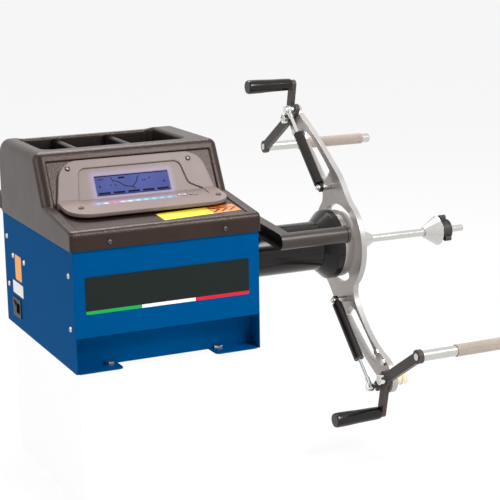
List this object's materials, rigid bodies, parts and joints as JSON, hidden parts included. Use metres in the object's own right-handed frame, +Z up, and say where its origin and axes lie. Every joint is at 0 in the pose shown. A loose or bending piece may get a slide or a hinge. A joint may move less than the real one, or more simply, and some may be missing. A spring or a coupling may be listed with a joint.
{
  "type": "motorcycle wheel balancer",
  "caption": "Bench wheel balancer: sheet-metal case with moulded tray cover and display, horizontal spindle, two-armed adapter plate with crank clamps, cones and quick nut.",
  "frame": {"origin": "centre of the four hold-down bolts, on the underside of the case", "axes": "+X along the spindle to its free end, -Y towards the operator, +Z up"},
  "size_m": [0.8314, 0.594, 0.567],
  "materials": {
    "blue_paint": "satin",
    "brown_plastic": "fine grain",
    "grey_plastic": "satin",
    "black_plastic": "satin",
    "black_rubber": "matt",
    "clear_window": "clear",
    "lit_strip": "diffused",
    "label_film": "printed film",
    "circuit_board": "soldered",
    "plate_steel": "satin",
    "bright_steel": "turned",
    "chrome_steel": "polished",
    "dark_steel": "oiled",
    "cast_grey": "machined",
    "alloy": "satin",
    "cream_plastic": "satin",
    "zinc_steel": "plated",
    "black_paint": "gloss"
  },
  "bodies": {
    "base": {"chassis": "blue_paint", "side_panel_left": "blue_paint", "side_panel_right": "blue_paint", "case_screws": "zinc_steel", "hold_down_bolts": "zinc_steel", "cover": "brown_plastic", "fascia": "grey_plastic", "fascia_screws": "zinc_steel", "display_module": "black_plastic", "display_window": "clear_window", "indicator_bar": "lit_strip", "control_board": "circuit_board", "power_supply": "alloy", "mains_inlet": "black_plastic", "rear_bumper": "black_rubber", "front_label": "label_film", "spindle_housing": "black_paint", "spindle_pedestal": "cast_grey", "force_sensors": "bright_steel", "bearings": "bright_steel", "motor": "alloy", "drive_belt": "black_rubber", "encoder_sensor": "black_plastic", "gauge_bush": "dark_steel"},
    "mains_switch": {"mains_switch": "black_plastic"},
    "button_enter": {"button_enter": "grey_plastic"},
    "button_select": {"button_select": "grey_plastic"},
    "motor_rotor": {"motor_pulley": "alloy"},
    "gauge_slide": {"gauge_rod": "bright_steel"},
    "gauge_swing": {"gauge_arm": "black_paint", "gauge_tube": "black_paint", "gauge_cap": "black_plastic"},
    "spindle": {"spindle_shaft": "bright_steel", "centring_shaft": "bright_steel", "flange_hub": "black_paint", "machined_flange": "bright_steel", "adapter_plate": "plate_steel", "plate_screws": "dark_steel", "strut_studs": "bright_steel", "pivot_bolts": "dark_steel", "pivot_nuts": "chrome_steel", "driven_pulley": "alloy", "encoder_disc": "alloy", "rear_cone": "bright_steel", "pivot_drum_lower": "cream_plastic"},
    "cone_nut": {"front_cone": "bright_steel", "quick_nut": "dark_steel"},
    "crank_upper": {"crank_upper": "plate_steel", "drive_bar_upper": "bright_steel", "bar_sleeve_upper": "cream_plastic"},
    "grip_upper": {"hand_grip_upper": "black_plastic"},
    "strut_body_upper": {"strut_body_upper": "dark_steel"},
    "strut_rod_upper": {"strut_rod_upper": "chrome_steel"},
    "crank_lower": {"crank_lower": "plate_steel", "drive_bar_lower": "bright_steel", "bar_sleeve_lower": "cream_plastic"},
    "grip_lower": {"hand_grip_lower": "black_plastic"},
    "strut_body_lower": {"strut_body_lower": "dark_steel"},
    "strut_rod_lower": {"strut_rod_lower": "chrome_steel"}
  },
  "joints": [
    {"name": "spindle_spin", "type": "hinge", "parent": "base", "child": "spindle", "pos_m": [0, 0, 0.113], "axis": [1, 0, 0], "continuous": true},
    {"name": "motor_spin", "type": "hinge", "parent": "base", "child": "motor_rotor", "pos_m": [-0.13, -0.112, 0.052], "axis": [1, 0, 0], "continuous": true},
    {"name": "gauge_draw", "type": "slide", "parent": "base", "child": "gauge_slide", "axis": [1, 0, 0], "range_m": [-0.056, 0.09]},
    {"name": "gauge_lift", "type": "hinge", "parent": "gauge_slide", "child": "gauge_swing", "pos_m": [0.231, 0.08, 0.178], "axis": [-1, 0, 0], "range_deg": [0, 60]},
    {"name": "cone_travel", "type": "slide", "parent": "spindle", "child": "cone_nut", "axis": [1, 0, 0], "range_m": [-0.1, 0]},
    {"name": "enter_press", "type": "slide", "parent": "base", "child": "button_enter", "axis": [0, 0.1337, -0.991], "range_m": [0, 0.0006], "stiffness_N_per_m": 600, "springref_m": -0.001},
    {"name": "select_press", "type": "slide", "parent": "base", "child": "button_select", "axis": [0, 0.1337, -0.991], "range_m": [0, 0.0006], "stiffness_N_per_m": 600, "springref_m": -0.001},
    {"name": "switch_rock", "type": "hinge", "parent": "base", "child": "mains_switch", "pos_m": [-0.155, 0.1361, 0.0353], "axis": [0, 1, 0], "range_deg": [0, 14]},
    {"name": "crank_upper_turn", "type": "hinge", "parent": "spindle", "child": "crank_upper", "pos_m": [0.4005, 0.18, 0.318], "axis": [1, 0, 0], "range_deg": [-5, 40]},
    {"name": "strut_upper_swing", "type": "hinge", "parent": "spindle", "child": "strut_body_upper", "pos_m": [0.385, 0.0276, 0.2112], "axis": [1, 0, 0], "range_deg": [-6, 1]},
    {"name": "strut_upper_stroke", "type": "slide", "parent": "strut_body_upper", "child": "strut_rod_upper", "axis": [0, 0.7054, 0.7088], "range_m": [-0.024, 0.004]},
    {"name": "grip_upper_spin", "type": "hinge", "parent": "crank_upper", "child": "grip_upper", "pos_m": [0.352, 0.166, 0.383], "axis": [1, 0, 0], "continuous": true},
    {"name": "crank_lower_turn", "type": "hinge", "parent": "spindle", "child": "crank_lower", "pos_m": [0.4005, -0.18, -0.092], "axis": [1, 0, 0], "range_deg": [-5, 40]},
    {"name": "strut_lower_swing", "type": "hinge", "parent": "spindle", "child": "strut_body_lower", "pos_m": [0.385, -0.0276, 0.0148], "axis": [1, 0, 0], "range_deg": [-6, 1]},
    {"name": "strut_lower_stroke", "type": "slide", "parent": "strut_body_lower", "child": "strut_rod_lower", "axis": [0, -0.7054, -0.7088], "range_m": [-0.024, 0.004]},
    {"name": "grip_lower_spin", "type": "hinge", "parent": "crank_lower", "child": "grip_lower", "pos_m": [0.352, -0.166, -0.157], "axis": [1, 0, 0], "continuous": true}
  ],
  "couplings": [
    {"joint": "motor_spin", "follows": "spindle_spin", "ratio": 2.6},
    {"joint": "strut_upper_swing", "follows": "crank_upper_turn", "ratio": -0.08},
    {"joint": "strut_upper_stroke", "follows": "crank_upper_turn", "m_per_rad": -0.0294},
    {"joint": "strut_lower_swing", "follows": "crank_lower_turn", "ratio": -0.08},
    {"joint": "strut_lower_stroke", "follows": "crank_lower_turn", "m_per_rad": -0.0294}
  ]
}
